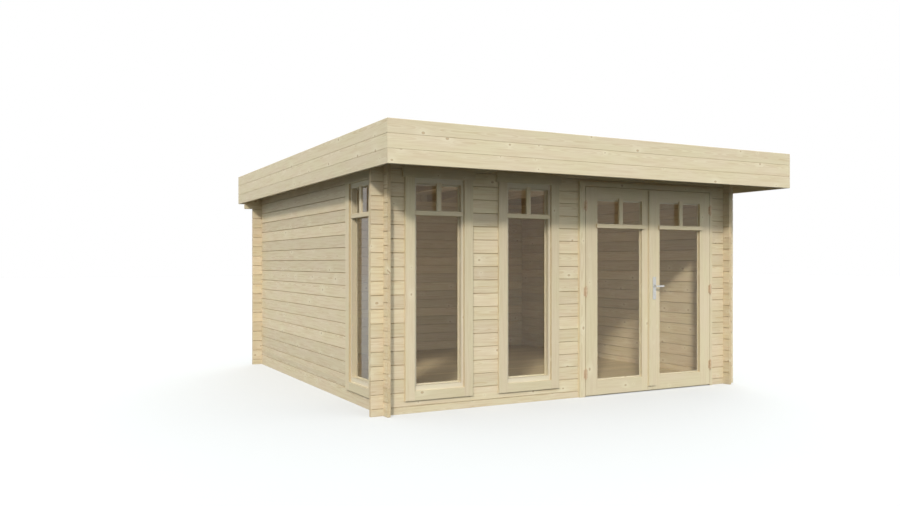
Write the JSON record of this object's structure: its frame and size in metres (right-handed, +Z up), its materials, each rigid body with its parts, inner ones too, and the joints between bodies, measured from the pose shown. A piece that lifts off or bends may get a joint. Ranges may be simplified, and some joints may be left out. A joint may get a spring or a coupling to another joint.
{
  "type": "garden office pod",
  "caption": "Flat-roofed spruce log cabin with a deep boarded fascia, tall fixed windows with small top panes and glazed double doors that open outwards.",
  "frame": {"origin": "on the ground under the middle of the roof's outline", "axes": "+Z up, -Y towards the front with the doors, +X to the right as seen from the front"},
  "size_m": [4.232, 4.62, 2.2842],
  "materials": {
    "spruce_log": "planed, untreated",
    "sawn_spruce": "sawn, untreated",
    "floor_spruce": "planed boards",
    "roof_spruce": "planed boards",
    "fascia_spruce": "planed, untreated",
    "joinery_spruce": "planed, untreated",
    "trim_spruce": "planed, untreated",
    "roof_membrane": "matt sheet",
    "clear_glass": "clear float glass",
    "hinge_bronze": "bronzed",
    "handle_steel": "satin"
  },
  "bodies": {
    "cabin": {"front_wall_even_logs": "spruce_log", "front_wall_odd_logs": "spruce_log", "front_wall_top_log": "spruce_log", "back_wall_even_logs": "spruce_log", "back_wall_odd_logs": "spruce_log", "left_wall_even_logs": "spruce_log", "left_wall_odd_logs": "spruce_log", "right_wall_even_logs": "spruce_log", "right_wall_odd_logs": "spruce_log", "floor_bearers": "sawn_spruce", "roof_purlins": "sawn_spruce", "eave_blocking": "sawn_spruce", "roof_kerb": "sawn_spruce", "floor_boards": "floor_spruce", "roof_boards": "roof_spruce", "roof_membrane": "roof_membrane", "front_fascia": "fascia_spruce", "back_fascia": "fascia_spruce", "left_fascia": "fascia_spruce", "right_fascia": "fascia_spruce", "front_left_window_frame": "joinery_spruce", "front_left_window_trim": "trim_spruce", "front_left_window_glass": "clear_glass", "front_middle_window_frame": "joinery_spruce", "front_middle_window_trim": "trim_spruce", "front_middle_window_glass": "clear_glass", "side_window_frame": "joinery_spruce", "side_window_trim": "trim_spruce", "side_window_glass": "clear_glass", "door_left_jamb": "joinery_spruce", "door_right_jamb": "joinery_spruce", "door_head": "joinery_spruce", "door_threshold": "joinery_spruce", "left_jamb_hinges": "hinge_bronze", "right_jamb_hinges": "hinge_bronze"},
    "left_leaf": {"left_leaf_frame": "joinery_spruce", "left_leaf_glass": "clear_glass", "left_leaf_hinges": "hinge_bronze"},
    "right_leaf": {"right_leaf_frame": "joinery_spruce", "right_leaf_glass": "clear_glass", "right_leaf_hinges": "hinge_bronze", "right_leaf_meeting_strip": "joinery_spruce", "door_handle_plates": "handle_steel"},
    "lever": {"door_lever": "handle_steel"}
  },
  "joints": [
    {"name": "left_leaf_swing", "type": "hinge", "parent": "cabin", "child": "left_leaf", "pos_m": [0.1049, -1.74, 0.967], "axis": [0, 0, -1], "range_deg": [0, 110]},
    {"name": "right_leaf_swing", "type": "hinge", "parent": "cabin", "child": "right_leaf", "pos_m": [1.6519, -1.74, 0.967], "axis": [0, 0, 1], "range_deg": [0, 110]},
    {"name": "lever_turn", "type": "hinge", "parent": "right_leaf", "child": "lever", "pos_m": [0.9099, -1.731, 1.007], "axis": [0, 1, 0], "range_deg": [0, 40], "stiffness_Nm_per_rad": 1.5, "springref_deg": -28.65}
  ]
}
